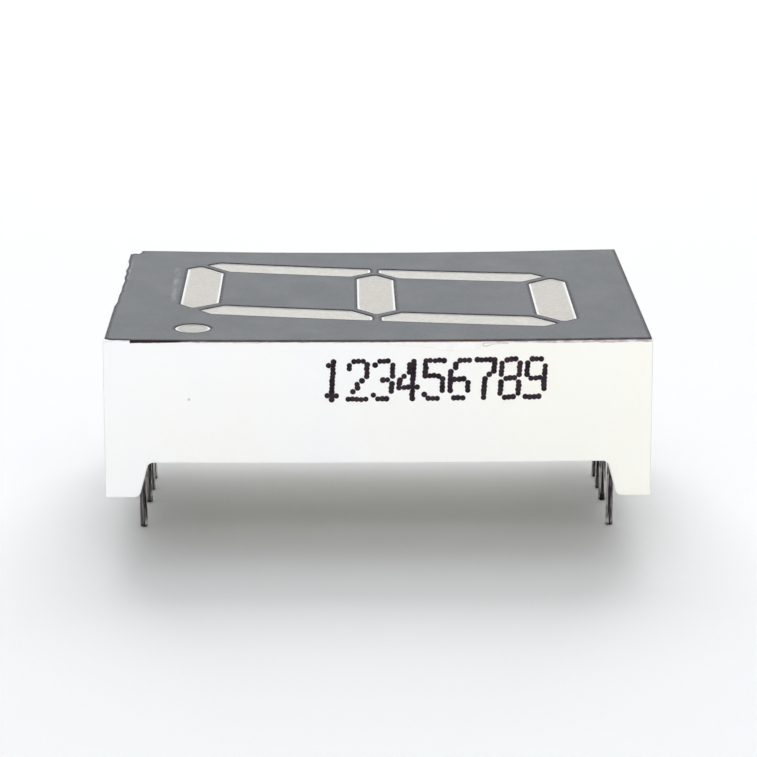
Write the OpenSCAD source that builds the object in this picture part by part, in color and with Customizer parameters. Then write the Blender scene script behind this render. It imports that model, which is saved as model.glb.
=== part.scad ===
// Single-digit LED display with a one-inch digit and a decimal point, lying face up on its pins.
// X runs up the digit, -Y runs to the digit's right, and Z = 0 is the plane of the pin tips.
// A white moulded housing holds a tapered light funnel for each segment. Milky epoxy fills the
// funnels, a board with the LED chips closes them from below, and more epoxy seals the board in.

/* [Body] */
// Length of the body at its face, along the digit's height
body_l = 34; // [33:0.1:40]
// Width of the body at its face
body_w = 24; // [23:0.1:30]
// Height from the feet to the face
body_h = 10.2; // [9:0.1:14]
// Thickness of the two long walls at the face
side_wall = 1; // [0.7:0.05:1.3]
// Thickness of the two end walls at the face
end_wall = 0.9; // [0.6:0.05:1.1]
// Lean of the outer walls in degrees, wider towards the feet
wall_draft = 0.5; // [0:0.1:1.5]
// Thickness of the face plate over the hollow pockets
plate_t = 1.2; // [0.8:0.1:2]
// Wall left between a pocket and the outline of a segment or the dot
web_t = 0.8; // [0.5:0.05:1]
// Radius of the upright corners of a pocket
pocket_r = 0.3; // [0.1:0.05:0.4]

/* [Feet] */
// Height of the feet below the edge of the long walls
foot_h = 2.27; // [1:0.01:3]
// Width of a foot's toe, from the end of the body
foot_w = 2.05; // [1.5:0.05:3]
// Lean of a foot's inner edge, in degrees from upright
foot_lean = 15; // [0:1:30]
// Radius at the toe, and where the foot meets the wall's edge
foot_r = 0.4; // [0.1:0.05:0.6]

/* [Digit] */
// Height of the digit
digit_h = 25.4; // [22:0.1:27]
// Width of the digit between the outer edges of its upright segments
digit_w = 14.1; // [12:0.1:14.5]
// Width of a segment
stroke = 2.45; // [2.2:0.05:3]
// Gap between neighbouring segments
seg_gap = 0.6; // [0.3:0.05:0.8]
// Size of the cut across each outer corner of the digit
corner_cut = 2.15; // [1.8:0.05:2.6]
// Rounding of a segment's corners
seg_r = 0.25; // [0.15:0.01:0.3]
// Slant of the digit, in degrees
slant = 9; // [0:0.5:10]
// Diameter of the decimal point
dot_d = 2.2; // [1.6:0.1:2.6]
// Distance from the digit's right edge to the middle of the decimal point
dot_reach = 3.78; // [3:0.01:4.5]

/* [Light funnels] */
// White rim of the housing that shows round the epoxy in each window
rim = 0.12; // [0:0.01:0.14]
// How far a funnel's wall draws in on its way down to the board
funnel_draw = 0.4; // [0.1:0.05:0.45]

/* [Face layer] */
// Thickness of the grey face layer
mask_t = 0.06; // [0.03:0.01:0.2]
// Bare edge of the housing left round the face layer
mask_margin = 0.08; // [0:0.01:0.3]

/* [Board and seal] */
// Thickness of the circuit board
board_t = 1; // [0.6:0.1:1.6]
// Gap between the board's edge and the housing
board_gap = 0.15; // [0.05:0.05:0.3]
// Thickness of the epoxy seal under the board
seal_t = 0.8; // [0.6:0.1:1.5]
// How far the seal lies above the edge of the long walls
seal_recess = 0.3; // [0:0.05:0.8]

/* [LED chips] */
// Side of a square LED chip
chip_w = 0.3; // [0.2:0.01:0.4]
// Height of a chip
chip_h = 0.2; // [0.1:0.01:0.3]
// Distance between the two chips of a level segment
chip_pitch_level = 4.6; // [3:0.1:5.5]
// Distance between the two chips of an upright segment
chip_pitch_upright = 5.6; // [3:0.1:6.5]
// Diameter of a bond wire
wire_d = 0.05; // [0.03:0.01:0.08]
// Distance from a chip's middle to the foot of its bond wire
wire_span = 0.7; // [0.5:0.05:1]

/* [Pins] */
// Diameter of a pin over its tin coat
pin_d = 0.5; // [0.4:0.01:0.6]
// How far the pins reach below the feet
pin_drop = 4.3; // [3:0.1:8]
// Distance from pin to pin along a row
pin_pitch = 2.54; // [2:0.01:2.54]
// Distance from each end of the body to its row of pins
row_inset = 1.76; // [1.7:0.01:2.5]
// Size of the bevel at a pin's tip
tip_bevel = 0.1; // [0.05:0.01:0.15]
// Thickness of the tin coat on the lower part of a pin
tin_t = 0.02; // [0.01:0.01:0.04]
// Bare length of pin between the coat and the plane of the feet
tin_clear = 0.2; // [0.1:0.1:0.5]
// Length over which the coat thins out
tin_runout = 0.6; // [0.6:0.1:1]
// Height of a solder joint
solder_h = 0.5; // [0.3:0.05:0.6]
// Radius of a solder joint on the board
solder_r = 0.6; // [0.4:0.05:0.65]

/* [Hidden] */
SEGMENT_NAMES = ["a", "b", "c", "d", "e", "f", "g"];
SEGMENT_COUNT = len(SEGMENT_NAMES);
CHIP_COUNT = 2;
// Places used in each row, in pitches from its middle: the place at -1 is left empty
PIN_PLACES = [-2, 0, 1, 2];
ROW_PINS = len(PIN_PLACES);
PIN_COUNT = 2 * ROW_PINS;

// Levels, from the pin tips up
feet_z = pin_drop;
edge_z = feet_z + foot_h;
seal_z = edge_z + seal_recess;
board_z = seal_z + seal_t;
board_top = board_z + board_t;
top_z = feet_z + body_h;
face_z = top_z - mask_t;
pocket_top = face_z - plate_t;

// The space inside the walls
inner_l = body_l - 2 * end_wall;
inner_w = body_w - 2 * side_wall;
flare = (face_z - feet_z) * tan(wall_draft);

// The digit's frame: half sizes, and the shift that leaves half a gap beside a 45 degree cut
half_w = digit_w / 2;
half_h = digit_h / 2;
inner_x = half_w - stroke;
inner_y = half_h - stroke;
half_gap = seg_gap / 2;
cut_shift = seg_gap / sqrt(2);
upright_mid = (inner_y + stroke / 2) / 2;

// The decimal point, in line with the foot of the digit
dot_place = [half_w + dot_reach, dot_d / 2 - half_h];

row_x = body_l / 2 - row_inset;

pin_r = pin_d / 2;
bare_r = pin_r - tin_t;
tin_top = feet_z - tin_clear;
over = 0.5;
arc_steps = 4;
$fn = 32;

// ---- Outlines ----

function unit(v) = v / norm(v);
function reversed(pts) = [for (i = [len(pts) - 1:-1:0]) pts[i]];

// A point of the digit (right, up) as a point of the body (x, y), with the slant
function on_body(p) = [p[1], -p[0] - p[1] * tan(slant)];

// The rounded corner at p of an anticlockwise outline, moved inwards by inset
function corner(before, p, after, inset, r) =
    let (to_before = unit(before - p),
         to_after = unit(after - p),
         half = acos(to_before * to_after) / 2,
         centre = p + unit(to_before + to_after) * (inset + r) / sin(half),
         start = atan2(to_before[0], -to_before[1]),
         turn = 180 - 2 * half)
    [for (k = [0:arc_steps])
        centre + r * [cos(start + turn * k / arc_steps), sin(start + turn * k / arc_steps)]];

function rounded(pts, inset, r) =
    let (n = len(pts))
    [for (i = [0:n - 1]) each corner(pts[(i + n - 1) % n], pts[i], pts[(i + 1) % n], inset, r)];

function turned(pts) = [for (p = pts) -p];
function flipped(pts) = reversed([for (p = pts) [p[0], -p[1]]]);

// Segments as drawn upright, each anticlockwise
function top_bar() =
    let (inner = inner_x - cut_shift,
         side = [half_w - corner_cut / 2 - cut_shift / 2, half_h - corner_cut / 2 + cut_shift / 2])
    [[-inner, inner_y], [inner, inner_y], side,
     [half_w - corner_cut, half_h], [corner_cut - half_w, half_h], [-side[0], side[1]]];

function middle_bar() =
    let (inner = inner_x - cut_shift, tip = inner + stroke / 2)
    [[-inner, -stroke / 2], [inner, -stroke / 2], [tip, 0],
     [inner, stroke / 2], [-inner, stroke / 2], [-tip, 0]];

function upper_right_bar() =
    [[inner_x, stroke / 2 + cut_shift],
     [inner_x + stroke / 2 + cut_shift - half_gap, half_gap],
     [half_w, half_gap],
     [half_w, half_h - corner_cut],
     [half_w - corner_cut / 2 + cut_shift / 2, half_h - corner_cut / 2 - cut_shift / 2],
     [inner_x, inner_y - cut_shift]];

SEGMENTS = [
    top_bar(),
    upper_right_bar(),
    flipped(upper_right_bar()),
    turned(top_bar()),
    turned(upper_right_bar()),
    turned(flipped(upper_right_bar())),
    middle_bar()
];

// The middle of each segment, and the way it runs
SEGMENT_MIDDLES = [
    [0, half_h - stroke / 2],
    [half_w - stroke / 2, upright_mid],
    [half_w - stroke / 2, -upright_mid],
    [0, stroke / 2 - half_h],
    [stroke / 2 - half_w, -upright_mid],
    [stroke / 2 - half_w, upright_mid],
    [0, 0]
];
function is_level(s) = SEGMENTS[s][0][1] == SEGMENTS[s][1][1];

function segment_outline(s, inset) =
    rounded([for (p = SEGMENTS[s]) on_body(p)], inset, seg_r - rim);

// How far a funnel's wall at height z stands inside the segment's outline
function drawn_in(z) = rim + funnel_draw * (face_z - z) / (face_z - board_top);

// ---- Shapes shared by several pieces ----

// A solid between two outlines that have the same number of points
module between(low, high, z0, z1) {
    n = len(low);
    polyhedron(
        points = concat([for (p = low) [p[0], p[1], z0]], [for (p = high) [p[0], p[1], z1]]),
        faces = concat(
            [[for (i = [0:n - 1]) i]],
            [reversed([for (i = [0:n - 1]) n + i])],
            [for (i = [0:n - 1]) [i, n + i, n + (i + 1) % n, (i + 1) % n]]
        )
    );
}

module segment_funnel(s, z0, z1) {
    between(segment_outline(s, drawn_in(z0)), segment_outline(s, drawn_in(z1)), z0, z1);
}

module dot_funnel(z0, z1) {
    dot = on_body(dot_place);
    translate([dot[0], dot[1], z0])
        cylinder(h = z1 - z0, r1 = dot_d / 2 - drawn_in(z0), r2 = dot_d / 2 - drawn_in(z1));
}

module block(l, w, z0, z1) {
    translate([-l / 2, -w / 2, z0])
        cube([l, w, z1 - z0]);
}

// ---- Housing ----

function rectangle(l, w) = [[-l, -w] / 2, [l, -w] / 2, [l, w] / 2, [-l, w] / 2];

// The gap between the feet in a long wall, as (x, height above the feet)
function foot_gap() =
    let (toe = [body_l / 2 - foot_w, 0],
         head = [toe[0] - foot_h * tan(foot_lean), foot_h],
         toe_arc = reversed(corner(head, toe, [body_l / 2, 0], 0, foot_r)),
         head_arc = corner(toe, head, [-head[0], foot_h], 0, foot_r),
         side = concat([[toe_arc[0][0], -over]], toe_arc, head_arc))
    concat(side, reversed([for (p = side) [-p[0], p[1]]]));

// Hollow inside the upper or lower loop of the digit
function loop_pocket() =
    [[-inner_x, stroke / 2], [inner_x, stroke / 2], [inner_x, inner_y], [-inner_x, inner_y]];

// Hollow between the digit's right edge and the long wall, from x0 to x1
function side_pocket(x0, x1) =
    let (wall_y = -inner_w / 2)
    [[x0, wall_y], [x1, wall_y],
     [x1, -half_w - x1 * tan(slant) - web_t / cos(slant)],
     [x0, -half_w - x0 * tan(slant) - web_t / cos(slant)]];

module pocket(outline) {
    translate([0, 0, board_top - over])
        linear_extrude(pocket_top - board_top + over)
            polygon(outline);
}

module pockets() {
    loop = loop_pocket();
    far_end = inner_y;
    past_dot = on_body(dot_place)[0] + dot_d / 2 + web_t;
    pocket(rounded([for (p = loop) on_body(p)], web_t, pocket_r));
    pocket(rounded([for (p = turned(loop)) on_body(p)], web_t, pocket_r));
    pocket(rounded(side_pocket(past_dot, far_end), 0, pocket_r));
    pocket(rounded(turned(side_pocket(-far_end, far_end)), 0, pocket_r));
}

module housing() {
    color("white")
        difference() {
            between(rectangle(body_l + 2 * flare, body_w + 2 * flare), rectangle(body_l, body_w),
                    feet_z, face_z);
            block(inner_l, inner_w, feet_z - over, board_top);
            translate([0, 0, feet_z])
                rotate([90, 0, 0])
                    linear_extrude(body_w + 2 * flare + 2 * over, center = true)
                        polygon(foot_gap());
            for (s = [0:SEGMENT_COUNT - 1])
                segment_funnel(s, board_top - over, face_z + over);
            dot_funnel(board_top - over, face_z + over);
            pockets();
        }
}

// ---- Face layer ----

module face_mask() {
    color("dimgray")
        translate([0, 0, face_z])
            linear_extrude(mask_t)
                difference() {
                    square([body_l - 2 * mask_margin, body_w - 2 * mask_margin], center = true);
                    for (s = [0:SEGMENT_COUNT - 1])
                        polygon(rounded([for (p = SEGMENTS[s]) on_body(p)], 0, seg_r));
                    translate(on_body(dot_place))
                        circle(d = dot_d);
                }
}

// ---- Light windows ----

module segment(s) {
    color("gainsboro")
        difference() {
            segment_funnel(s, board_top, face_z);
            for (c = [1:CHIP_COUNT]) {
                led(s, c);
                bond_wire(s, c);
            }
        }
}

module decimal_point() {
    color("gainsboro")
        dot_funnel(board_top, face_z);
}

// ---- Chips and bond wires ----

// Puts its children at a chip, on the board, with +X towards the segment's middle
module at_chip(s, c) {
    run = unit(on_body(is_level(s) ? [1, 0] : [0, 1]));
    pitch = is_level(s) ? chip_pitch_level : chip_pitch_upright;
    side = c == 1 ? -1 : 1;
    place = on_body(SEGMENT_MIDDLES[s]) + side * run * pitch / 2;
    translate([place[0], place[1], board_top])
        rotate([0, 0, atan2(-side * run[1], -side * run[0])])
            children();
}

module led(s, c) {
    color("khaki")
        at_chip(s, c)
            translate([-chip_w / 2, -chip_w / 2, 0])
                cube([chip_w, chip_w, chip_h]);
}

// A half loop from the chip's top, down to the board
module bond_wire(s, c) {
    color("silver")
        at_chip(s, c) {
            translate([wire_span / 2, 0, chip_h])
                rotate([90, 0, 0])
                    rotate_extrude(angle = 180)
                        translate([wire_span / 2, 0])
                            circle(d = wire_d);
            translate([wire_span, 0, 0])
                cylinder(h = chip_h, d = wire_d);
        }
}

// ---- Board and seal ----

module board_blank() {
    block(inner_l - 2 * board_gap, inner_w - 2 * board_gap, board_z, board_top);
}

module circuit_board() {
    color("darkseagreen")
        difference() {
            board_blank();
            for (n = [1:PIN_COUNT])
                at_pin(n)
                    translate([0, 0, board_z - over])
                        cylinder(h = board_t + 2 * over, r = bare_r);
        }
}

module back_seal() {
    color("whitesmoke")
        difference() {
            block(inner_l, inner_w, seal_z, board_top);
            board_blank();
            for (n = [1:PIN_COUNT]) {
                at_pin(n)
                    translate([0, 0, seal_z - over])
                        cylinder(h = seal_t + 2 * over, r = bare_r);
                solder_cone(n);
            }
        }
}

// ---- Pins and solder ----

// Pins 1 to 4 stand under the foot of the digit, from its left to its right, and the rest come
// back under its top, from right to left
module at_pin(n) {
    at_top = n > ROW_PINS;
    place = PIN_PLACES[at_top ? n - ROW_PINS - 1 : ROW_PINS - n];
    translate([(at_top ? 1 : -1) * row_x, place * pin_pitch, 0])
        children();
}

module pin(n) {
    color("silver")
        at_pin(n) {
            cylinder(h = tip_bevel, r1 = pin_r - tip_bevel, r2 = pin_r);
            translate([0, 0, tip_bevel])
                cylinder(h = tin_top - tin_runout - tip_bevel, r = pin_r);
            translate([0, 0, tin_top - tin_runout])
                cylinder(h = tin_runout, r1 = pin_r, r2 = bare_r);
            translate([0, 0, tin_top])
                cylinder(h = board_top - tin_top, r = bare_r);
        }
}

module solder_cone(n) {
    at_pin(n)
        translate([0, 0, board_z - solder_h])
            cylinder(h = solder_h, r1 = bare_r + tin_t, r2 = solder_r);
}

module solder(n) {
    color("lightgray")
        difference() {
            solder_cone(n);
            at_pin(n)
                translate([0, 0, board_z - solder_h - over])
                    cylinder(h = solder_h + 2 * over, r = bare_r);
        }
}

housing();
face_mask();
for (s = [0:SEGMENT_COUNT - 1])
    segment(s);
decimal_point();
circuit_board();
back_seal();
for (s = [0:SEGMENT_COUNT - 1], c = [1:CHIP_COUNT]) {
    led(s, c);
    bond_wire(s, c);
}
for (n = [1:PIN_COUNT]) {
    pin(n);
    solder(n);
}
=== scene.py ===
import math
import random

import bpy
from mathutils import Matrix, Vector, noise


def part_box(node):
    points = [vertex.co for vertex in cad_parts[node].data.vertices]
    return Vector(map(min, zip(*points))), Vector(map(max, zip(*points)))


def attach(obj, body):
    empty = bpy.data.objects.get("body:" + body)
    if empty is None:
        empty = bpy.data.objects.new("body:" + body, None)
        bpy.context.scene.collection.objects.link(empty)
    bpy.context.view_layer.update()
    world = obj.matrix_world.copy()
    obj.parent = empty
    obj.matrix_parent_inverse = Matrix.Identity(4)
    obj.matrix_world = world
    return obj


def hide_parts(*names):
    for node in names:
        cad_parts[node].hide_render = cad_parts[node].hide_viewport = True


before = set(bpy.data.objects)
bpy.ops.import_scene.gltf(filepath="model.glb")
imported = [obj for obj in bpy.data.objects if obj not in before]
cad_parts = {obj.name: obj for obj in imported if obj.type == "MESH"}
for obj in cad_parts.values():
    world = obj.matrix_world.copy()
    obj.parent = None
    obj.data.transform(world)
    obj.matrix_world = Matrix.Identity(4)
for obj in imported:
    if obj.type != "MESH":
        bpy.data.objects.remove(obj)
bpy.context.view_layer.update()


# ---- Housing ----
# The body is one white moulding, open below, with a foot at each end that rests on the board its
# pins go through. Cooling has drawn its face and its long walls in a little towards the middle.

MM = 0.001
# Places closer than this count as the same when faces and edges are picked
NEAR = 0.01 * MM
# Angle in degrees from which an edge counts as sharp
CREASE = 35
# The seal lies this far above the edge of the long walls
SEAL_RECESS = 0.3 * MM
# The walls lean in by less than this between the feet and the face
WALL_LEAN = 0.1 * MM
WALL_BEVEL = 0.1 * MM
CUTS = 10
# Depth of the bow in the face, and in each long wall
SINK = 0.15 * MM
DRAW_IN = 0.19 * MM
body_low, body_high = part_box("housing")
half_l, half_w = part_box("face_mask")[1].xy
edge_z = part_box("back_seal")[0].z - SEAL_RECESS


def only(piece):
    """Make this piece the one that is selected and active."""
    if bpy.context.object and bpy.context.object.mode != "OBJECT":
        bpy.ops.object.mode_set(mode="OBJECT")
    bpy.ops.object.select_all(action="DESELECT")
    piece.select_set(True)
    bpy.context.view_layer.objects.active = piece


def copy_of(node, name):
    """A copy of a node's solid as a piece that stands for it, with its loose triangles joined into faces."""
    piece = bpy.data.objects.new(name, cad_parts[node].data.copy())
    bpy.context.collection.objects.link(piece)
    only(piece)
    piece.data.materials.clear()
    bpy.ops.mesh.customdata_custom_splitnormals_clear()
    bpy.ops.object.mode_set(mode="EDIT")
    bpy.ops.mesh.select_all(action="SELECT")
    bpy.ops.mesh.remove_doubles(threshold=0.001 * MM)
    bpy.ops.mesh.dissolve_limited(angle_limit=math.radians(0.1))
    bpy.ops.object.mode_set(mode="OBJECT")
    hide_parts(node)
    return piece


def edit(piece, kind, test):
    """Enter edit mode with the faces, edges or sharp edges selected whose place passes a test."""
    only(piece)
    bpy.context.tool_settings.mesh_select_mode = (False, kind != "FACE", kind == "FACE")
    bpy.ops.object.mode_set(mode="EDIT")
    bpy.ops.mesh.select_all(action="DESELECT")
    if kind == "SHARP":
        bpy.ops.mesh.edges_select_sharp(sharpness=math.radians(CREASE))
    bpy.ops.object.mode_set(mode="OBJECT")
    mesh = piece.data
    if kind == "FACE":
        for face in mesh.polygons:
            face.select = test(face.center, face.normal)
    else:
        for edge in mesh.edges:
            ends = [mesh.vertices[i].co for i in edge.vertices]
            edge.select = (kind == "EDGE" or edge.select) and all(test(end) for end in ends)
    bpy.ops.object.mode_set(mode="EDIT")


def cut_across(piece, cuts=CUTS, span=None):
    """Cut a piece across its length, so that it can follow the moulding's curve."""
    span = span or half_l
    edit(piece, "FACE", lambda place, normal: True)
    for k in range(1, cuts):
        bpy.ops.mesh.select_all(action="SELECT")
        bpy.ops.mesh.bisect(plane_co=(span * (2 * k / cuts - 1), 0, 0), plane_no=(1, 0, 0))
    bpy.ops.object.mode_set(mode="OBJECT")


def settle(*pieces):
    """Draw pieces in towards the middle of the body's length, as the moulding has drawn in."""
    bpy.ops.object.select_all(action="DESELECT")
    bpy.ops.object.add(type="LATTICE", location=(0, 0, (body_low.z + body_high.z) / 2))
    cage = bpy.context.object
    cage.scale = (2 * half_l, 2 * half_w, body_high.z - body_low.z)
    cage.data.points_u, cage.data.points_v, cage.data.points_w = 5, 2, 2
    cage.data.interpolation_type_u = "KEY_CATMULL_ROM"
    cage.data.interpolation_type_v = cage.data.interpolation_type_w = "KEY_LINEAR"
    for point in cage.data.points:
        bow = 1 - (2 * point.co.x) ** 2
        point.co_deform.z -= SINK * bow / cage.scale.z
        point.co_deform.y -= math.copysign(DRAW_IN * bow / cage.scale.y, point.co.y)
    for piece in pieces:
        only(piece)
        bend = piece.modifiers.new("moulding_bow", "LATTICE")
        bend.object = cage
        bpy.ops.object.modifier_apply(modifier=bend.name)
    bpy.data.objects.remove(cage)


def smooth(piece, degrees=CREASE):
    """Smooth shading between faces that meet at a small angle, with flat faces left looking flat."""
    only(piece)
    bpy.ops.object.shade_smooth_by_angle(angle=math.radians(degrees))
    even = piece.modifiers.new("even_normals", "WEIGHTED_NORMAL")
    even.keep_sharp = True
    bpy.ops.object.modifier_apply(modifier=even.name)


def node(tree, kind, inputs=None, **settings):
    """Add a shader node with its settings, and set or link its inputs."""
    made = tree.nodes.new("ShaderNode" + kind)
    for key, value in settings.items():
        setattr(made, key, value)
    for key, value in (inputs or {}).items():
        if isinstance(value, bpy.types.NodeSocket):
            tree.links.new(value, made.inputs[key])
        else:
            made.inputs[key].default_value = value
    return made


def new_finish(name, **constants):
    """A material with its shader's plain values set, and the object's own coordinates."""
    finish = bpy.data.materials.new(name)
    finish.use_nodes = True
    tree = finish.node_tree
    shader = tree.nodes["Principled BSDF"]
    for key, value in constants.items():
        shader.inputs[key.replace("_", " ")].default_value = value
    return finish, tree, shader, node(tree, "TexCoord").outputs["Object"]


def grain(tree, place, size, detail=2.0, stretch=(1, 1, 1)):
    """Noise whose lumps are about size across, from 0 to 1."""
    scaled = node(tree, "Mapping", {"Vector": place, "Scale": [s / size for s in stretch]})
    return node(tree, "TexNoise", {"Vector": scaled.outputs[0], "Scale": 1.0, "Detail": detail}).outputs[0]


def step(tree, value, start, end, low=0.0, high=1.0):
    """Go smoothly from low to high as a value goes from start to end."""
    return node(tree, "MapRange", {"Value": value, "From Min": start, "From Max": end,
                                   "To Min": low, "To Max": high},
                interpolation_type="SMOOTHSTEP").outputs[0]


def times(tree, *values):
    """The product of values."""
    product = values[0]
    for value in values[1:]:
        product = node(tree, "Math", {0: product, 1: value}, operation="MULTIPLY").outputs[0]
    return product


def blend(tree, share, first, second):
    """A colour that goes from first to second as the share goes from 0 to 1."""
    mix = node(tree, "Mix", {0: share}, data_type="RGBA")
    for socket, colour in ((mix.inputs[6], first), (mix.inputs[7], second)):
        if isinstance(colour, bpy.types.NodeSocket):
            tree.links.new(colour, socket)
        else:
            socket.default_value = (*colour, 1)
    return mix.outputs[2]


def relief(tree, shader, height, depth, strength=1.0, under=None):
    """Raise and lower a surface by a height from 0 to 1 times depth."""
    bump = node(tree, "Bump", {"Height": height, "Distance": depth, "Strength": strength})
    if under:
        tree.links.new(under, bump.inputs["Normal"])
    tree.links.new(bump.outputs[0], shader.inputs["Normal"])
    return bump.outputs[0]


def white_plastic():
    """White plastic, yellowed towards one end, with rare dark specks and a matt, uneven surface."""
    finish, tree, shader, place = new_finish(
        "white_moulding", IOR=1.5, Subsurface_Weight=0.08, Subsurface_Scale=0.8 * MM)
    shader.inputs["Subsurface Radius"].default_value = (1.0, 0.9, 0.75)
    x = node(tree, "SeparateXYZ", {0: place}).outputs[0]
    yellowed = step(tree, x, -4 * MM, half_l, 0.0, 0.9)
    clouds = step(tree, grain(tree, place, 6 * MM), 0.35, 0.75, 0.0, 0.35)
    cream = node(tree, "Math", {0: yellowed, 1: clouds}, operation="ADD", use_clamp=True).outputs[0]
    white = blend(tree, cream, (0.86, 0.86, 0.86), (0.87, 0.862, 0.80))
    cells = node(tree, "TexVoronoi", {"Vector": place, "Scale": 1 / (1.3 * MM)})
    rare = step(tree, node(tree, "SeparateColor", {0: cells.outputs["Color"]}).outputs[0], 0.955, 0.96)
    speck = times(tree, rare, step(tree, cells.outputs["Distance"], 0.10, 0.03), 0.55)
    tree.links.new(blend(tree, speck, white, (0.32, 0.26, 0.2)), shader.inputs["Base Color"])
    rub = step(tree, grain(tree, place, 1.2 * MM, 4.0, (1, 1, 0.3)), 0.3, 0.7, 0.36, 0.48)
    tree.links.new(rub, shader.inputs["Roughness"])
    flow = relief(tree, shader, grain(tree, place, 3 * MM), 0.012 * MM, 0.6)
    relief(tree, shader, grain(tree, place, 0.09 * MM, 3.0), 0.004 * MM, 0.5, flow)
    return finish


housing = copy_of("housing", "housing_moulding")
cut_across(housing)
edit(housing, "SHARP", lambda p: abs(p.x) > body_high.x - WALL_LEAN
     or abs(p.y) > body_high.y - WALL_LEAN or p.z < edge_z + NEAR)
bpy.ops.mesh.bevel(offset=WALL_BEVEL, segments=3, affect="EDGES", clamp_overlap=True)
bpy.ops.object.mode_set(mode="OBJECT")
settle(housing)
smooth(housing)
housing.data.materials.append(white_plastic())
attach(housing, "root")


# ---- Face layer ----
# Grey ink covers the face, with painted shade darkening it in a narrow band wherever it stops, round each
# light window and along its other edges. It ends just short of the edge, has worn through along the left end,
# and is torn at two corners.

FILM_BEVEL = 0.03 * MM
# Width of the darkest painted shade on the ink at an edge, and of the half dark painted shade beside it
EDGE_SHADE_W = 0.07 * MM
SHOULDER_SHADE_W = 0.11 * MM
# Outlines of what is torn or worn away, in millimetres
FRONT_TEAR = [(-17.4, -12.4), (-15.34, -12.4), (-15.31, -11.86), (-15.42, -11.80), (-15.75, -11.83),
              (-16.06, -11.74), (-16.40, -11.80), (-16.62, -11.72), (-16.83, -11.52), (-17.4, -11.42)]
BACK_TEAR = [(-17.4, 12.4), (-17.4, 10.80), (-16.86, 10.90), (-16.62, 11.12), (-16.36, 11.02),
             (-16.14, 11.42), (-16.20, 11.66), (-16.02, 12.4)]
WORN_END = [(-17.4, 9.6), (-17.4, -3.9), (-16.90, -3.5), (-16.81, -2.6), (-16.83, -0.9), (-16.77, 0.3),
            (-16.80, 1.9), (-16.74, 3.2), (-16.84, 4.1), (-16.79, 5.2), (-16.88, 6.1), (-16.80, 7.4),
            (-16.86, 8.6)]
CUTTER_T = 0.6 * MM
THIN_PATCH = (13.6 * MM, 8.7 * MM, 1)
THIN_PATCH_R = 3.16 * MM
SCRATCH_X = -13.26 * MM
SCRATCH_LEAN = -0.0192


def turn_out():
    """Turn every face of the piece in edit mode outwards, and leave edit mode."""
    bpy.ops.mesh.select_all(action="SELECT")
    bpy.ops.mesh.normals_make_consistent(inside=False)
    bpy.ops.object.mode_set(mode="OBJECT")


def tear(piece, outline):
    """Cut away the part of the face layer inside an outline, given in millimetres."""
    bpy.ops.object.select_all(action="DESELECT")
    bpy.ops.mesh.primitive_circle_add(vertices=len(outline), fill_type="NGON")
    cutter = bpy.context.object
    cutter_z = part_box("face_mask")[0].z - CUTTER_T / 3
    for vertex, (x, y) in zip(cutter.data.vertices, outline):
        vertex.co = (x * MM, y * MM, cutter_z)
    bpy.ops.object.mode_set(mode="EDIT")
    bpy.ops.mesh.select_all(action="SELECT")
    bpy.ops.mesh.normals_make_consistent(inside=False)
    bpy.ops.mesh.extrude_region_move(TRANSFORM_OT_translate={"value": (0, 0, CUTTER_T)})
    turn_out()
    only(piece)
    cut = piece.modifiers.new("tear", "BOOLEAN")
    cut.operation, cut.solver, cut.object = "DIFFERENCE", "EXACT", cutter
    bpy.ops.object.modifier_apply(modifier=cut.name)
    bpy.data.objects.remove(cutter)


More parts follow.
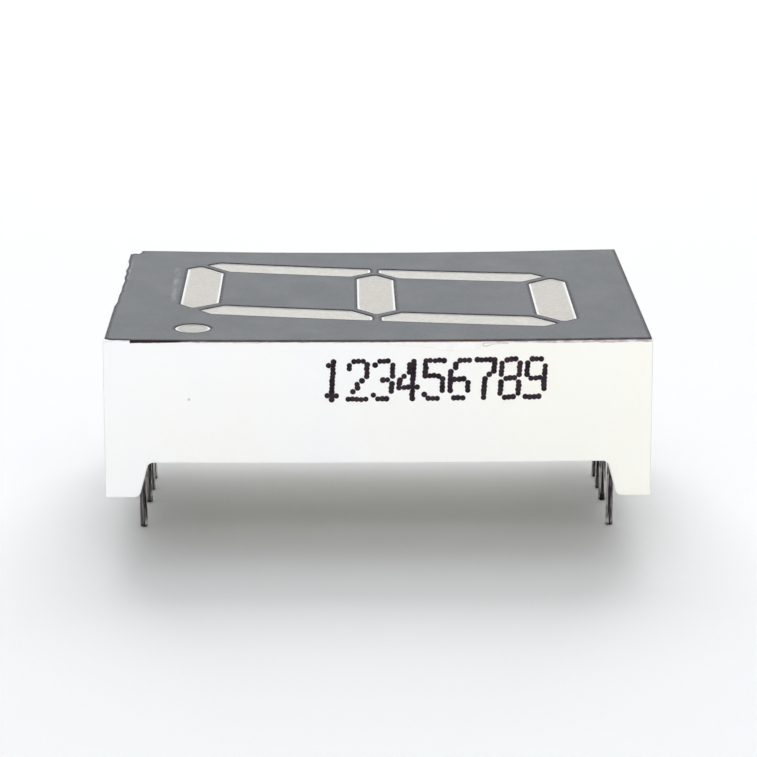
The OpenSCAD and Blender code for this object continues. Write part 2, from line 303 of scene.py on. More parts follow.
def face_ink():
    """Grey ink with a fine grain, thin in one corner, rubbed along one end and scratched beside the digit."""
    finish, tree, shader, place = new_finish("grey_face_ink", IOR=1.48, Specular_IOR_Level=0.12)
    axes = node(tree, "SeparateXYZ", {0: place}).outputs
    mottle = step(tree, grain(tree, place, 2.6 * MM, 3.0), 0.3, 0.7)
    ink = blend(tree, mottle, (0.107, 0.116, 0.122), (0.117, 0.126, 0.132))
    fine = step(tree, grain(tree, place, 0.22 * MM, 2.0), 0.3, 0.7, 0.0, 0.5)
    ink = blend(tree, fine, ink, (0.140, 0.146, 0.151))
    # A thin patch in the back right corner, bounded by a curve
    away = node(tree, "VectorMath", {0: place, 1: THIN_PATCH}, operation="SUBTRACT")
    inside = node(tree, "VectorMath", {0: away.outputs[0], 1: (0, 0, -2)}, operation="MAXIMUM")
    flat = node(tree, "VectorMath", {0: inside.outputs[0], 1: (1, 1, 0)}, operation="MULTIPLY")
    reach = node(tree, "VectorMath", {0: flat.outputs[0]}, operation="LENGTH").outputs["Value"]
    thin = step(tree, reach, THIN_PATCH_R - 0.04 * MM, THIN_PATCH_R + 0.04 * MM, 0.0, 0.5)
    ink = blend(tree, thin, ink, (0.155, 0.155, 0.145))
    # Rubbed along the left end
    rubbed = times(tree, step(tree, axes[0], 0.45 * MM - half_l, 0.02 * MM - half_l),
                   step(tree, axes[1], -3 * MM, 2 * MM), step(tree, axes[1], 9.5 * MM, 7 * MM),
                   step(tree, grain(tree, place, 0.9 * MM, 3.0), 0.38, 0.56, 0.15, 0.8))
    ink = blend(tree, rubbed, ink, (0.62, 0.61, 0.58))
    # A pale scratch beside the foot of the digit
    across = node(tree, "Math", {0: axes[1], 1: SCRATCH_LEAN, 2: SCRATCH_X}, operation="MULTIPLY_ADD")
    offset = node(tree, "Math", {0: axes[0], 1: across.outputs[0]}, operation="SUBTRACT")
    gap = node(tree, "Math", {0: offset.outputs[0]}, operation="ABSOLUTE").outputs[0]
    scratch = times(tree, step(tree, gap, 0.30 * MM, 0.03 * MM),
                    step(tree, axes[1], -3.2 * MM, -1 * MM), step(tree, axes[1], 7.6 * MM, 6 * MM),
                    step(tree, grain(tree, place, 1.3 * MM, 2.0, (2, 0.5, 1)), 0.25, 0.7), 0.45)
    ink = blend(tree, scratch, ink, (0.36, 0.37, 0.37))
    tree.links.new(ink, shader.inputs["Base Color"])
    wiped = step(tree, grain(tree, place, 2.2 * MM, 3.0), 0.3, 0.7, 0.50, 0.56)
    tree.links.new(wiped, shader.inputs["Roughness"])
    flow = relief(tree, shader, grain(tree, place, 2.5 * MM), 0.006 * MM, 0.4)
    relief(tree, shader, grain(tree, place, 0.12 * MM, 3.0), 0.004 * MM, 0.5, flow)
    return finish


def painted_edge_shade(name, thin, paler_shade):
    """Ink darkened by painted shade where it stops, going in uneven patches between a darker and a paler
    tone.
    """
    finish, tree, shader, place = new_finish(name, Roughness=0.6, IOR=1.48, Specular_IOR_Level=0.12)
    # The first colour given is the darker tone of the painted shade, the second the paler one
    uneven_tone = step(tree, grain(tree, place, 0.5 * MM, 3.0), 0.35, 0.65)
    tree.links.new(blend(tree, uneven_tone, thin, paler_shade), shader.inputs["Base Color"])
    relief(tree, shader, grain(tree, place, 0.1 * MM), 0.01 * MM)
    return finish


film = copy_of("face_mask", "face_film")
film_low, film_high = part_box("face_mask")
edit(film, "SHARP", lambda p: p.z > film_high.z - NEAR)
# The rounded top edges take the painted edge shade
bpy.ops.mesh.bevel(offset=FILM_BEVEL, segments=2, affect="EDGES", material=1)
bpy.ops.object.mode_set(mode="OBJECT")
film.data.materials.append(face_ink())
# The second and third finishes are painted shade: a dark band where the ink stops and a half dark band beside
# it
film.data.materials.append(painted_edge_shade("grey_ink_painted_edge_shade", (0.038, 0.028, 0.034), (0.075, 0.068, 0.070)))
film.data.materials.append(painted_edge_shade("grey_ink_painted_shoulder_shade", (0.080, 0.082, 0.088), (0.094, 0.100, 0.106)))
tear(film, FRONT_TEAR)
tear(film, BACK_TEAR)
tear(film, WORN_END)
cut_across(film)
# The whole layer first takes the painted edge shade; the two insets then leave a dark band and a half dark
# band of painted shade round every edge of the top, with plain ink inside
film.active_material_index = 1
edit(film, "FACE", lambda place, normal: True)
bpy.ops.object.material_slot_assign()
bpy.ops.object.mode_set(mode="OBJECT")
edit(film, "FACE", lambda place, normal: normal.z > 0.99)
bpy.ops.mesh.inset(thickness=EDGE_SHADE_W, depth=0, use_boundary=True)
film.active_material_index = 2
bpy.ops.object.material_slot_assign()
bpy.ops.mesh.inset(thickness=SHOULDER_SHADE_W, depth=0, use_boundary=True)
film.active_material_index = 0
bpy.ops.object.material_slot_assign()
bpy.ops.object.mode_set(mode="OBJECT")
settle(film)
smooth(film)
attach(film, "root")


# ---- Ink run over the front edge ----
# The face layer was laid on wet and ran over the front edge of the body, thickest near its torn
# corner. Below the solid ink a thin smear of it has been dragged down the wall.

RUN_STEPS = 240
RUN_ROWS = 4
RUN_START = -15.33 * MM
RUN_PROUD = 0.012 * MM
RUN_T = 0.03 * MM
# The bare edge of the housing shows this far round the face layer
BARE_EDGE = 0.08 * MM
draft = (body_high.y - half_w - BARE_EDGE) / (film_low.z - body_low.z)


def front_wall(z):
    """How far out the long wall stands at a height."""
    return -(half_w + BARE_EDGE + (film_low.z - z) * draft)


def run_depth(x):
    """How far the solid ink reaches down the wall at a place along the body."""
    ripple = noise.noise((x / (0.9 * MM), 3.7, 0)) + 0.5 * noise.noise((x / (0.25 * MM), 1.1, 0))
    heavy = max(0.0, 1 - (x - RUN_START) / (4.0 * MM))
    return (0.018 + 0.014 * ripple + 0.080 * heavy) * MM


def smear_depth(x):
    """How much further the smear reaches, which is widest towards the right end."""
    ragged = noise.noise((x / (1.7 * MM), 8.2, 0)) + 0.6 * noise.noise((x / (0.35 * MM), 5.1, 0))
    wider = min(1.0, max(0.0, x / (3 * MM) - 2.4))
    return max(0.0, 0.015 + 0.07 * ragged + 0.085 * wider) * MM


def run_ink():
    """Dark ink, heaviest at its start and brown along one stretch, with a paler smear below it."""
    finish, tree, shader, place = new_finish("run_ink", Roughness=0.6, IOR=1.48, Specular_IOR_Level=0.2)
    x = node(tree, "SeparateXYZ", {0: place}).outputs[0]
    uneven_tone = step(tree, grain(tree, place, 0.5 * MM, 3.0), 0.35, 0.65)
    thin = blend(tree, uneven_tone, (0.050, 0.042, 0.052), (0.090, 0.080, 0.092))
    brown = times(tree, step(tree, x, 0, 4 * MM), step(tree, x, 10 * MM, 7 * MM), 0.8)
    thin = blend(tree, brown, thin, (0.075, 0.036, 0.036))
    heavy = step(tree, x, -11.4 * MM, -12.8 * MM)
    ink = blend(tree, heavy, thin, (0.016, 0.005, 0.011))
    dragged = step(tree, grain(tree, place, 0.45 * MM, 3.0, (1, 1, 2)), 0.35, 0.65)
    smear = blend(tree, dragged, (0.44, 0.36, 0.37), (0.68, 0.64, 0.64))
    # The solid ink ends below the rounded edge where it is heavy, and on the rounded edge elsewhere
    down = node(tree, "SeparateXYZ", {0: node(tree, "TexCoord").outputs["UV"]}).outputs[1]
    past = node(tree, "Math", {0: step(tree, heavy, 0.0, 1.0, 0.50, 0.25), 1: down},
                operation="SUBTRACT").outputs[0]
    tree.links.new(blend(tree, step(tree, past, -0.05, 0.05), ink, smear), shader.inputs["Base Color"])
    relief(tree, shader, grain(tree, place, 0.1 * MM), 0.01 * MM)
    return finish


bpy.ops.object.select_all(action="DESELECT")
bpy.ops.mesh.primitive_grid_add(x_subdivisions=RUN_STEPS, y_subdivisions=RUN_ROWS, size=1)
run = bpy.context.object
run.name = "ink_run"
for vertex in run.data.vertices:
    x = RUN_START + (vertex.co.x + 0.5) * (half_l - 0.02 * MM - RUN_START)
    solid = film_high.z - 0.10 * MM - run_depth(x)
    smeared = solid - smear_depth(x)
    # Over the rounded edge, down to where the solid ink ends, and on to the end of the smear
    profile = [(-half_w, film_high.z - 0.012 * MM), (-half_w - 0.055 * MM, film_high.z - 0.03 * MM),
               (-half_w - 0.088 * MM, film_high.z - 0.09 * MM),
               (front_wall(solid) - RUN_PROUD, solid), (front_wall(smeared) - RUN_PROUD / 2, smeared)]
    vertex.co = (x, *profile[round((0.5 - vertex.co.y) * RUN_ROWS)])
only(run)
bpy.ops.object.mode_set(mode="EDIT")
turn_out()
wall = run.modifiers.new("ink_thickness", "SOLIDIFY")
wall.thickness, wall.offset = RUN_T, -1
bpy.ops.object.modifier_apply(modifier=wall.name)
settle(run)
smooth(run, 60)
run.data.materials.append(run_ink())
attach(run, "root")


# ---- Dried resin on the front wall ----
# A little resin crept over the front edge and dried as a clear film with a yellowed rim. Beside
# it a flake of the face layer has lifted and left a torn mark.

# Outlines of the resin and the torn mark: places along the body and depths below its face, in millimetres
RESIN = ((-4.0, 0.11), (-2.3, 0.14), (0.3, 0.26), (2.4, 0.41), (3.3, 0.51), (4.0, 0.66), (4.7, 0.70),
         (6.0, 0.62), (6.4, 0.50), (6.34, 0.30), (6.38, 0.11))
TORN = ((6.46, 0.17), (7.0, 0.15), (7.7, 0.14), (8.1, 0.19), (8.02, 0.28), (7.6, 0.25), (7.1, 0.31),
        (6.7, 0.43), (6.44, 0.38))


def film_finish(name, plain, other, gloss):
    """A film that goes in patches from one colour to another, and is a little duller in the second."""
    finish, tree, shader, place = new_finish(name, IOR=1.5)
    patchy = step(tree, grain(tree, place, 0.6 * MM, 3.0), 0.35, 0.65)
    tree.links.new(blend(tree, patchy, plain, other), shader.inputs["Base Color"])
    tree.links.new(step(tree, patchy, 0.0, 1.0, gloss, gloss + 0.1), shader.inputs["Roughness"])
    relief(tree, shader, patchy, 0.006 * MM)
    return finish


def wall_film(name, outline, rim, proud, finishes):
    """A thin film on the front wall inside an outline of places along it and depths below the top."""
    bpy.ops.object.select_all(action="DESELECT")
    bpy.ops.mesh.primitive_circle_add(vertices=len(outline), fill_type="NGON")
    sheet = bpy.context.object
    sheet.name = name
    for vertex, (x, down) in zip(sheet.data.vertices, outline):
        z = film_high.z - down * MM
        vertex.co = (x * MM, front_wall(z), z)
    only(sheet)
    bpy.ops.object.mode_set(mode="EDIT")
    bpy.ops.mesh.select_all(action="SELECT")
    bpy.ops.mesh.extrude_region_move(TRANSFORM_OT_translate={"value": (0, -proud, 0)})
    turn_out()
    for finish in finishes:
        sheet.data.materials.append(finish)
    edit(sheet, "FACE", lambda place, normal: normal.y < -0.9)
    bpy.ops.mesh.inset(thickness=rim, depth=0)
    sheet.active_material_index = 1
    bpy.ops.object.material_slot_assign()
    bpy.ops.object.mode_set(mode="OBJECT")
    cut_across(sheet, 4 * CUTS)
    settle(sheet)
    smooth(sheet, 30)
    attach(sheet, "root")


wall_film("dried_resin", RESIN, 0.045 * MM, 0.008 * MM,
          (film_finish("yellowed_resin_rim", (0.80, 0.765, 0.66), (0.85, 0.84, 0.78), 0.3),
           film_finish("clear_resin", (0.87, 0.868, 0.856), (0.86, 0.86, 0.85), 0.22)))
wall_film("torn_mark", TORN, 0.05 * MM, 0.006 * MM,
          (film_finish("torn_edge", (0.50, 0.47, 0.44), (0.74, 0.72, 0.68), 0.5),
           film_finish("torn_middle", (0.84, 0.83, 0.79), (0.74, 0.73, 0.69), 0.5)))


# ---- Light windows ----
# Milky epoxy, poured into the funnels from behind, shows as seven flat windows and a dot, the
# narrow ones a little paler. It has pulled down slightly inside each white rim as it set.

# Width of the rim, its depth, and how far the epoxy inside has slipped to the back
RIM_W = 0.07 * MM
RIM_FALL = 0.020 * MM
RIM_SLIP = 0.065 * MM


def milky_epoxy(name, pale, dull, gloss):
    """Milky epoxy, clouded from a pale to a dull tone, with fine beads that are darker than both."""
    finish, tree, shader, place = new_finish(
        name, IOR=1.54, Specular_IOR_Level=0.15, Subsurface_Weight=0.25, Subsurface_Scale=0.5 * MM)
    shader.inputs["Subsurface Radius"].default_value = (1.0, 0.9, 0.8)
    cloud = step(tree, grain(tree, place, 1.4 * MM, 3.0), 0.3, 0.7)
    milk = blend(tree, cloud, pale, dull)
    beads = step(tree, grain(tree, place, 0.20 * MM, 2.0), 0.35, 0.65, 0.0, 0.75)
    milk = blend(tree, beads, milk, [c * 0.9 for c in dull])
    tree.links.new(milk, shader.inputs["Base Color"])
    tree.links.new(step(tree, grain(tree, place, 0.4 * MM, 3.0), 0.3, 0.7, gloss, gloss + 0.12),
                   shader.inputs["Roughness"])
    soft = relief(tree, shader, grain(tree, place, 0.9 * MM), 0.01 * MM, 0.6)
    relief(tree, shader, grain(tree, place, 0.1 * MM, 3.0), 0.006 * MM, 0.7, soft)
    return finish


block_epoxy = milky_epoxy("milky_block_epoxy", (0.590, 0.555, 0.500), (0.555, 0.522, 0.470), 0.40)
bar_epoxy = milky_epoxy("milky_bar_epoxy", (0.660, 0.635, 0.585), (0.620, 0.595, 0.545), 0.40)
dot_epoxy = milky_epoxy("milky_dot_epoxy", (0.485, 0.478, 0.444), (0.457, 0.450, 0.416), 0.36)
rim_epoxy = milky_epoxy("thin_rim_epoxy", (0.73, 0.72, 0.695), (0.69, 0.68, 0.655), 0.40)
inside = {"segment_a": block_epoxy, "segment_d": block_epoxy, "segment_g": block_epoxy,
          "decimal_point": dot_epoxy}
window_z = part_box("segment_a")[1].z
for window in ["segment_" + letter for letter in "abcdefg"] + ["decimal_point"]:
    plug = copy_of(window, window + "_epoxy")
    plug.data.materials.append(rim_epoxy)
    plug.data.materials.append(inside.get(window, bar_epoxy))
    edit(plug, "FACE", lambda place, normal: place.z > window_z - NEAR)
    bpy.ops.mesh.inset(thickness=RIM_W, depth=-RIM_FALL, use_boundary=True)
    bpy.ops.transform.translate(value=(0, RIM_SLIP, 0))
    plug.active_material_index = 1
    bpy.ops.object.material_slot_assign()
    bpy.ops.object.mode_set(mode="OBJECT")
    cut_across(plug, 4 * CUTS)
    settle(plug)
    smooth(plug, 8)
    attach(plug, "root")


# ---- Printed number ----
# An ink jet has set small drops of black ink, with a brown cast, in strokes of touching dots on
# the long wall below the decimal point. The row leans forward and climbs a little to the right.

# Each stroke runs between grid places: 5 columns counted from the left, 11 rows from the top
STROKES = {
    "1": (((1, 1), (2, 0), (2, 10)), ((1, 9), (2, 10), (3, 9))),
    "2": (((0, 2), (1, 0), (3, 0)), ((4, 1), (4, 4), (1, 8)), ((0, 10), (4, 10))),
    "3": (((0, 1), (1, 0), (3, 0)), ((4, 1), (4, 4)), ((2, 5), (3, 5), (4, 6), (4, 8)),
          ((3, 10), (1, 10), (0, 9))),
    "4": (((3, 10), (3, 0), (0, 6)), ((0, 7), (4, 7))),
    "5": (((4, 0), (0, 0), (0, 4), (3, 4)), ((4, 5), (4, 8)), ((3, 10), (1, 10), (0, 9))),
    "6": (((4, 0), (2, 0), (0, 3), (0, 8)), ((0, 5), (3, 5)), ((4, 6), (4, 8)), ((1, 10), (3, 10))),
    "7": (((0, 0), (4, 0), (4, 2), (2, 6), (2, 10)),),
    "8": (((1, 0), (3, 0)), ((0, 1), (0, 4)), ((4, 1), (4, 4)), ((1, 5), (3, 5)), ((0, 6), (0, 8)),
          ((4, 6), (4, 8)), ((0, 9), (1, 10), (3, 10), (4, 9))),
    "9": (((3, 5), (1, 5), (0, 4), (0, 1)), ((1, 0), (3, 0)), ((4, 2), (4, 8)), ((3, 10), (0, 10))),
}
DROP_R = 0.190 * MM
DROP_T = 0.014 * MM
COLUMN = 0.275 * MM
ROW = 0.242 * MM
DIGIT_PITCH = 1.575 * MM
PRINT_LEFT = -3.40 * MM
PRINT_DROP = 1.36 * MM
PRINT_LEAN = 0.05
PRINT_CLIMB = 0.009
# Spread of the drops round their grid places, in millimetres
SCATTER = 0.013


def print_ink():
    """Black ink with a brown cast, uneven in tone and in gloss."""
    finish, tree, shader, place = new_finish("black_print_ink", IOR=1.45, Specular_IOR_Level=0.2)
    uneven = step(tree, grain(tree, place, 0.5 * MM, 2.0), 0.35, 0.65)
    tree.links.new(blend(tree, uneven, (0.010, 0.004, 0.009), (0.030, 0.014, 0.023)),
                   shader.inputs["Base Color"])
    tree.links.new(step(tree, grain(tree, place, 0.2 * MM), 0.3, 0.7, 0.45, 0.7),
                   shader.inputs["Roughness"])
    relief(tree, shader, grain(tree, place, 0.06 * MM), 0.004 * MM)
    return finish


def one_drop():
    """A flat round drop with a soft edge, lying against a wall that faces -Y."""
    bpy.ops.object.select_all(action="DESELECT")
    bpy.ops.mesh.primitive_cylinder_add(vertices=12, radius=DROP_R, depth=DROP_T,
                                        rotation=(math.pi / 2, 0, 0))
    drop = bpy.context.object
    bpy.ops.object.transform_apply(location=True, rotation=True, scale=True)
    edit(drop, "EDGE", lambda p: p.y < 0)
    bpy.ops.mesh.bevel(offset=0.6 * DROP_T, segments=1, affect="EDGES")
    bpy.ops.object.mode_set(mode="OBJECT")
    return drop


def joined(pieces):
    """Join pieces into the first of them."""
    only(pieces[0])
    for piece in pieces[1:]:
        piece.select_set(True)
    bpy.ops.object.join()
    return pieces[0]


jet = random.Random(4)
drop = one_drop()
drops = []
for place, digit in enumerate("123456789"):
    spots = set()
    for stroke in STROKES[digit]:
        for (c0, r0), (c1, r1) in zip(stroke, stroke[1:]):
            steps = max(abs(c1 - c0), abs(r1 - r0))
            spots |= {(round(c0 + (c1 - c0) * k / steps), round(r0 + (r1 - r0) * k / steps))
                      for k in range(steps + 1)}
    for column, row in sorted(spots):
        x = PRINT_LEFT + place * DIGIT_PITCH + column * COLUMN + PRINT_LEAN * (5 - row) * ROW
        z = film_high.z - PRINT_DROP - row * ROW + PRINT_CLIMB * (x - PRINT_LEFT)
        x, z = x + jet.gauss(0, SCATTER) * MM, z + jet.gauss(0, SCATTER) * MM
        spot = bpy.data.objects.new("drop", drop.data.copy())
        bpy.context.collection.objects.link(spot)
        size = jet.uniform(0.9, 1.04)
        spot.data.transform(Matrix.Diagonal((size, 1, size, 1)))
        spot.data.transform(Matrix.Rotation(math.atan(-draft), 4, "X"))
        spot.data.transform(Matrix.Translation((x, front_wall(z) - 0.3 * DROP_T, z)))
        drops.append(spot)
bpy.data.objects.remove(drop)
number = joined(drops)
number.name = "printed_number"
settle(number)
smooth(number)
number.data.materials.append(print_ink())
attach(number, "root")


# ---- Pins ----
# Each pin is a straight length of tinned wire, cropped at the tip. The tin rounds off the cropped
# end, lies unevenly along the wire and thins out to bare wire just below the board.

# Heights along a pin in millimetres, and the tin's width there as a share of the full one
TIN_RINGS = ((0.32, 1.0), (0.55, 0.965), (0.95, 1.0), (1.5, 0.975), (2.2, 0.995), (2.9, 0.97),
             (3.5, 0.985), (4.1, 0.92))
BARE_SHARE = 0.92


def tinned_wire():
    """Tin with a painted reflection: bright on the side towards the middle, dark down its face, grey then
    bright on the outer side; with drawn streaks, dull patches and a dark cropped tip.
    """
    finish, tree, shader, place = new_finish("tinned_wire", Metallic=1.0)
    axes = node(tree, "SeparateXYZ", {0: place}).outputs
    # Where a point lies across its pin: -1 on the side towards the middle, 1 on the outer side
    out = node(tree, "Math", {0: axes[0]}, operation="ABSOLUTE").outputs[0]
    across = node(tree, "Math", {0: out, 1: 1 / pin_r, 2: -row_x / pin_r}, operation="MULTIPLY_ADD")
    drawn = step(tree, grain(tree, place, 0.16 * MM, 2.0, (1, 1, 0.05)), 0.3, 0.7, -0.45, 0.45)
    across = node(tree, "Math", {0: across.outputs[0], 1: drawn}, operation="ADD").outputs[0]
    # Painted reflection: these bands of colour stand in for the room mirrored in the tin, not for the tin's
    # own colour
    tin = blend(tree, step(tree, across, -0.62, -0.42), (0.97, 0.96, 0.94), (0.030, 0.023, 0.027))
    tin = blend(tree, step(tree, across, 0.25, 0.55), tin, (0.36, 0.32, 0.31))
    tin = blend(tree, step(tree, across, 0.80, 0.95), tin, (0.90, 0.88, 0.86))
    dull = times(tree, step(tree, grain(tree, place, 0.8 * MM, 2.0), 0.40, 0.62), 0.75)
    tin = blend(tree, dull, tin, (0.13, 0.12, 0.125))
    cropped = step(tree, axes[2], 0.22 * MM, 0.06 * MM)
    tree.links.new(blend(tree, cropped, tin, (0.030, 0.026, 0.030)), shader.inputs["Base Color"])
    tree.links.new(step(tree, drawn, -0.45, 0.45, 0.16, 0.30), shader.inputs["Roughness"])
    relief(tree, shader, drawn, 0.003 * MM)
    return finish


pin_low, pin_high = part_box("pin_1")
pin_r = (pin_high.x - pin_low.x) / 2
row_x = abs(pin_high.x + pin_low.x) / 2
tin = tinned_wire()
bpy.ops.object.select_all(action="DESELECT")
bpy.ops.mesh.primitive_cylinder_add(vertices=32, radius=pin_r, depth=pin_high.z - pin_low.z,
                                    location=(0, 0, (pin_low.z + pin_high.z) / 2))
wire = bpy.context.object
bpy.ops.object.transform_apply(location=True, rotation=True, scale=True)
edit(wire, "EDGE", lambda p: p.z < pin_low.z + NEAR)
bpy.ops.mesh.bevel(offset=0.12 * MM, segments=4, affect="EDGES")
for height, share in TIN_RINGS:
    bpy.ops.mesh.select_all(action="SELECT")
    bpy.ops.mesh.bisect(plane_co=(0, 0, height * MM), plane_no=(0, 0, 1))
    bpy.ops.transform.resize(value=(share, share, 1), center_override=(0, 0, height * MM))
edit(wire, "EDGE", lambda p: p.z > pin_high.z - NEAR)
bpy.ops.transform.resize(value=(BARE_SHARE, BARE_SHARE, 1), center_override=(0, 0, pin_high.z))
bpy.ops.object.mode_set(mode="OBJECT")
pins = [name for name in sorted(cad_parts) if name.startswith("pin_")]
for turn, name in enumerate(pins):
    low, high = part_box(name)
    pin = bpy.data.objects.new(name + "_wire", wire.data.copy())
    bpy.context.collection.objects.link(pin)
    pin.data.transform(Matrix.Rotation(0.7 * turn, 4, "Z"))
    pin.data.transform(Matrix.Translation(((low.x + high.x) / 2, (low.y + high.y) / 2, 0)))
    smooth(pin, 60)
    pin.data.materials.append(tin)
    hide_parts(name)
    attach(pin, "root")
bpy.data.objects.remove(wire)


# ---- Back seal ----
# Epoxy poured over the back of the board seals it in. It has climbed the walls a little and each
# pin a little more, and set with a shallow unevenness.

seal_low, seal_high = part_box("back_seal")
# The seal stops this far below the board
BOARD_GAP = 0.02 * MM
# With the pins pointing up, steps from the walls inwards: width and fall of each, in millimetres
CLIMB = ((0.07, 0.13), (0.11, 0.08), (0.18, 0.05), (0.35, 0.02))
# Rings of the collar round a pin that points up, from its top down: radius, and height over the seal
COLLAR = ((0.27, 0.42), (0.31, 0.26), (0.40, 0.12), (0.58, 0.03), (0.80, -0.02))


def seal_epoxy():
    """Cream epoxy, clouded and shiny, with shallow waves and a few small bubbles."""
    finish, tree, shader, place = new_finish(
        "cream_seal_epoxy", IOR=1.54, Subsurface_Weight=0.3, Subsurface_Scale=0.8 * MM)
    shader.inputs["Subsurface Radius"].default_value = (1.0, 0.85, 0.6)
    clouds = step(tree, grain(tree, place, 4 * MM, 3.0), 0.3, 0.7)
    cream = blend(tree, clouds, (0.72, 0.70, 0.63), (0.66, 0.635, 0.55))
    bubble = node(tree, "TexVoronoi", {"Vector": place, "Scale": 1 / (1.6 * MM)})
    ring = times(tree, step(tree, bubble.outputs["Distance"], 0.12, 0.07),
                 step(tree, node(tree, "SeparateColor", {0: bubble.outputs["Color"]}).outputs[1],
                      0.8, 0.82))
    tree.links.new(blend(tree, times(tree, ring, 0.4), cream, (0.5, 0.47, 0.38)),
                   shader.inputs["Base Color"])
    tree.links.new(step(tree, grain(tree, place, 2 * MM, 3.0), 0.3, 0.7, 0.12, 0.26),
                   shader.inputs["Roughness"])
    waves = relief(tree, shader, grain(tree, place, 3.5 * MM), 0.06 * MM, 0.6)
    relief(tree, shader, ring, 0.05 * MM, 0.7, waves)
    return finish


bpy.ops.object.select_all(action="DESELECT")
bpy.ops.mesh.primitive_cube_add(size=1, location=(0, 0, 0))
seal = bpy.context.object
seal.name = "seal_fill"
rise = sum(up for across, up in CLIMB) * MM
low_z = seal_low.z - rise
high_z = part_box("circuit_board")[0].z - BOARD_GAP
seal.scale = (seal_high.x - seal_low.x, seal_high.y - seal_low.y, high_z - low_z)
seal.location = (0, 0, (high_z + low_z) / 2)
bpy.ops.object.transform_apply(location=True, rotation=True, scale=True)
edit(seal, "FACE", lambda place, normal: normal.z < -0.5)
for across, up in CLIMB:
    bpy.ops.mesh.inset(thickness=across * MM, depth=-up * MM)
bpy.ops.object.mode_set(mode="OBJECT")
cut_across(seal, 8, seal_high.x)
collars = []
for name in pins:
    low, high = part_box(name)
    bpy.ops.object.select_all(action="DESELECT")
    bpy.ops.mesh.primitive_circle_add(vertices=28, radius=COLLAR[0][0] * MM,
                                      location=((low.x + high.x) / 2, (low.y + high.y) / 2,
                                                seal_low.z - COLLAR[0][1] * MM))
    collar = bpy.context.object
    bpy.ops.object.transform_apply(location=True, rotation=True, scale=True)
    bpy.ops.object.mode_set(mode="EDIT")
    bpy.ops.mesh.select_all(action="SELECT")
    for (r0, d0), (r1, d1) in zip(COLLAR, COLLAR[1:]):
        bpy.ops.mesh.extrude_edges_move(TRANSFORM_OT_translate={"value": (0, 0, (d0 - d1) * MM)})
        centre = ((low.x + high.x) / 2, (low.y + high.y) / 2, seal_low.z - d1 * MM)
        bpy.ops.transform.resize(value=(r1 / r0, r1 / r0, 1), center_override=centre)
    bpy.ops.object.mode_set(mode="OBJECT")
    collars.append(collar)
seal = joined([seal] + collars)
bpy.ops.object.mode_set(mode="EDIT")
turn_out()
settle(seal)
smooth(seal, 60)
seal.data.materials.append(seal_epoxy())
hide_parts("back_seal")
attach(seal, "root")


# ---- Board, chips, bond wires and solder ----
# These are sealed inside: a woven glass board with green resist, sawn LED crystals, drawn
# aluminium wires between each chip and the board, and a joint of solder at each pin.

def board_laminate():
    """Green laminate that shows the weave of its glass cloth."""
    finish, tree, shader, place = new_finish("green_laminate", IOR=1.5)
    weave = node(tree, "TexWave", {"Vector": place, "Scale": 1 / (3.2 * MM), "Distortion": 0.6})
    cross = node(tree, "TexWave", {"Vector": place, "Scale": 1 / (3.2 * MM), "Distortion": 0.6},
                 bands_direction="Y")
    cloth = times(tree, weave.outputs["Fac"], cross.outputs["Fac"])
    tree.links.new(blend(tree, cloth, (0.16, 0.27, 0.12), (0.26, 0.37, 0.17)),
                   shader.inputs["Base Color"])
    tree.links.new(step(tree, grain(tree, place, 1 * MM), 0.3, 0.7, 0.3, 0.45),
                   shader.inputs["Roughness"])
    relief(tree, shader, cloth, 0.01 * MM)
    return finish


def led_crystal():
    """Amber crystal with fine saw marks."""
    finish, tree, shader, place = new_finish("led_crystal", IOR=2.4)
    saw = step(tree, grain(tree, place, 0.03 * MM, 3.0, (1, 1, 0.2)), 0.3, 0.7)
    tree.links.new(blend(tree, saw, (0.62, 0.47, 0.16), (0.78, 0.64, 0.28)),
                   shader.inputs["Base Color"])
    tree.links.new(step(tree, saw, 0.0, 1.0, 0.25, 0.5), shader.inputs["Roughness"])
    relief(tree, shader, saw, 0.003 * MM)
    return finish


def metal_finish(name, dark, bright, size, stretch):
    """Bare metal that goes from dark to bright in streaks or patches of a size."""
    finish, tree, shader, place = new_finish(name, Metallic=1.0)
    flow = step(tree, grain(tree, place, size, 3.0, stretch), 0.3, 0.7)
    tree.links.new(blend(tree, flow, dark, bright), shader.inputs["Base Color"])
    tree.links.new(step(tree, flow, 0.0, 1.0, 0.2, 0.38), shader.inputs["Roughness"])
    relief(tree, shader, flow, size / 40)
    return finish


inner_finishes = {
    "circuit_board": board_laminate(),
    "led_": led_crystal(),
    "wire_": metal_finish("bond_wire", (0.70, 0.70, 0.71), (0.88, 0.88, 0.89), 0.02 * MM, (1, 1, 0.2)),
    "solder_": metal_finish("solder", (0.46, 0.46, 0.47), (0.66, 0.66, 0.67), 0.25 * MM, (1, 1, 1)),
}
for name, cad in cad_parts.items():
    for start, finish in inner_finishes.items():
        if name.startswith(start):
            cad.data.materials.clear()
            cad.data.materials.append(finish)


# ---- Camera, light and floor ----
# The display stands on its pins on a white sheet, under a wide soft lamp, with a narrower one
# behind it and two weak ones in front.

CAMERA_PLACE = (-2.29 * MM, -174.8 * MM, film_high.z + 44.0 * MM)
# How far the camera looks down, and to the right, in degrees
CAMERA_DIP = 15.95
CAMERA_TURN = 0.81
COOL_WHITE = (0.97, 0.985, 1.0)
WHITE = (1.0, 1.0, 1.0)

bpy.ops.object.select_all(action="DESELECT")
bpy.ops.object.camera_add(location=CAMERA_PLACE, rotation=(
    math.radians(90 - CAMERA_DIP), 0, math.radians(-CAMERA_TURN)))
camera = bpy.context.object
camera.data.lens = 130.0
camera.data.sensor_width = 36
camera.data.clip_start = 0.01
bpy.context.scene.camera = camera


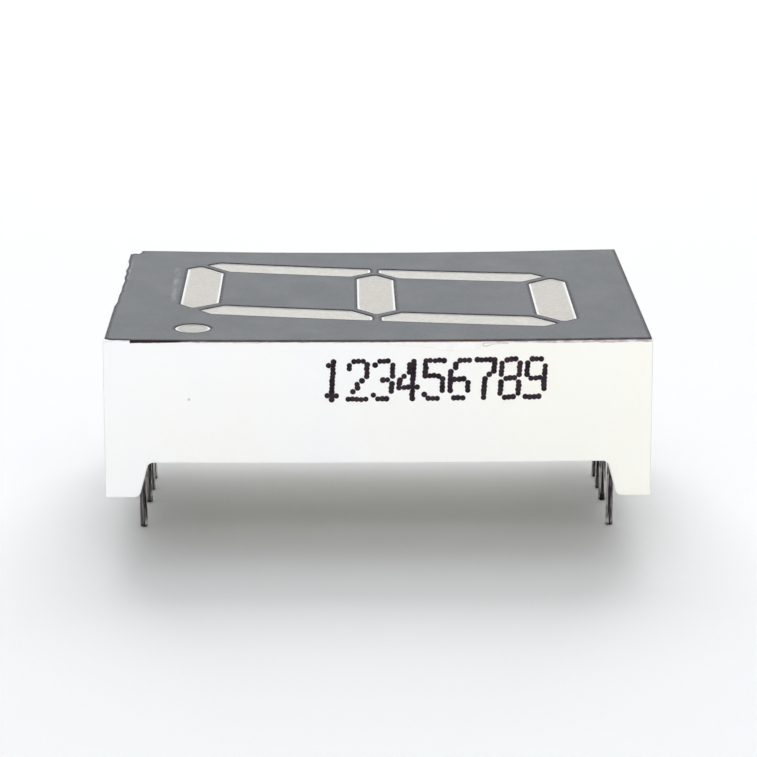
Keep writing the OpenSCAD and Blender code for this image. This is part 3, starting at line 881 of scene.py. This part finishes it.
def softbox(name, place, aim, size, watts, colour):
    """A rectangular lamp at a place, turned to face its aim."""
    bpy.ops.object.select_all(action="DESELECT")
    bpy.ops.object.light_add(type="AREA", location=place)
    lamp = bpy.context.object
    lamp.name = name
    lamp.rotation_euler = (Vector(aim) - Vector(place)).to_track_quat("-Z", "Y").to_euler()
    lamp.data.shape = "RECTANGLE"
    lamp.data.size, lamp.data.size_y = size
    lamp.data.energy = watts
    lamp.data.color = colour


softbox("lamp_overhead", (0, 0, 0.80), (0, 0, 0), (2.4, 2.0), 9.0, COOL_WHITE)
softbox("lamp_behind", (0.02, 0.595, 0.535), (0, 0, 0), (0.7, 0.75), 5.1, COOL_WHITE)
softbox("lamp_front", (0, -0.40, 0.32), (0, 0, 0), (0.5, 0.15), 0.38, WHITE)
softbox("lamp_low", (0, -0.30, 0.015), (0, 0, 0.01), (0.5, 0.03), 0.59, WHITE)

# The room is white to the camera. In reflections it is dim on the camera's side and half bright
# straight behind, and it casts almost no light of its own.
world = bpy.data.worlds.new("white_room")
bpy.context.scene.world = world
world.use_nodes = True
room = world.node_tree
paths = node(room, "LightPath").outputs
towards = node(room, "SeparateXYZ", {0: node(room, "TexCoord").outputs["Generated"]}).outputs[1]
mirrored = times(room, paths["Is Glossy Ray"], step(room, towards, -0.6, 0.0, 0.12, 1.0),
                 step(room, towards, 0.4, 0.85, 1.0, 0.45))
seen = node(room, "Math", {0: paths["Is Camera Ray"], 1: mirrored}, operation="MAXIMUM")
room.links.new(step(room, seen.outputs[0], 0.0, 1.0, 0.03, 1.0),
               room.nodes["Background"].inputs["Strength"])
room.nodes["Background"].inputs["Color"].default_value = (0.98, 0.99, 1.0, 1)

bpy.ops.object.select_all(action="DESELECT")
bpy.ops.mesh.primitive_plane_add(size=4)
floor = bpy.context.object
floor.name = "white_sheet"
# The camera is shown a whiter sheet than the one that throws light back at the display
sheet = bpy.data.materials.new("white_sheet")
sheet.use_nodes = True
tree = sheet.node_tree
shader = tree.nodes["Principled BSDF"]
tree.links.new(blend(tree, node(tree, "LightPath").outputs["Is Camera Ray"], (0.80, 0.81, 0.82),
                     (0.99, 0.995, 1.0)), shader.inputs["Base Color"])
shader.inputs["Roughness"].default_value = 0.9
shader.inputs["Specular IOR Level"].default_value = 0.1
floor.data.materials.append(sheet)

view = bpy.context.scene.view_settings
view.view_transform = "Standard"
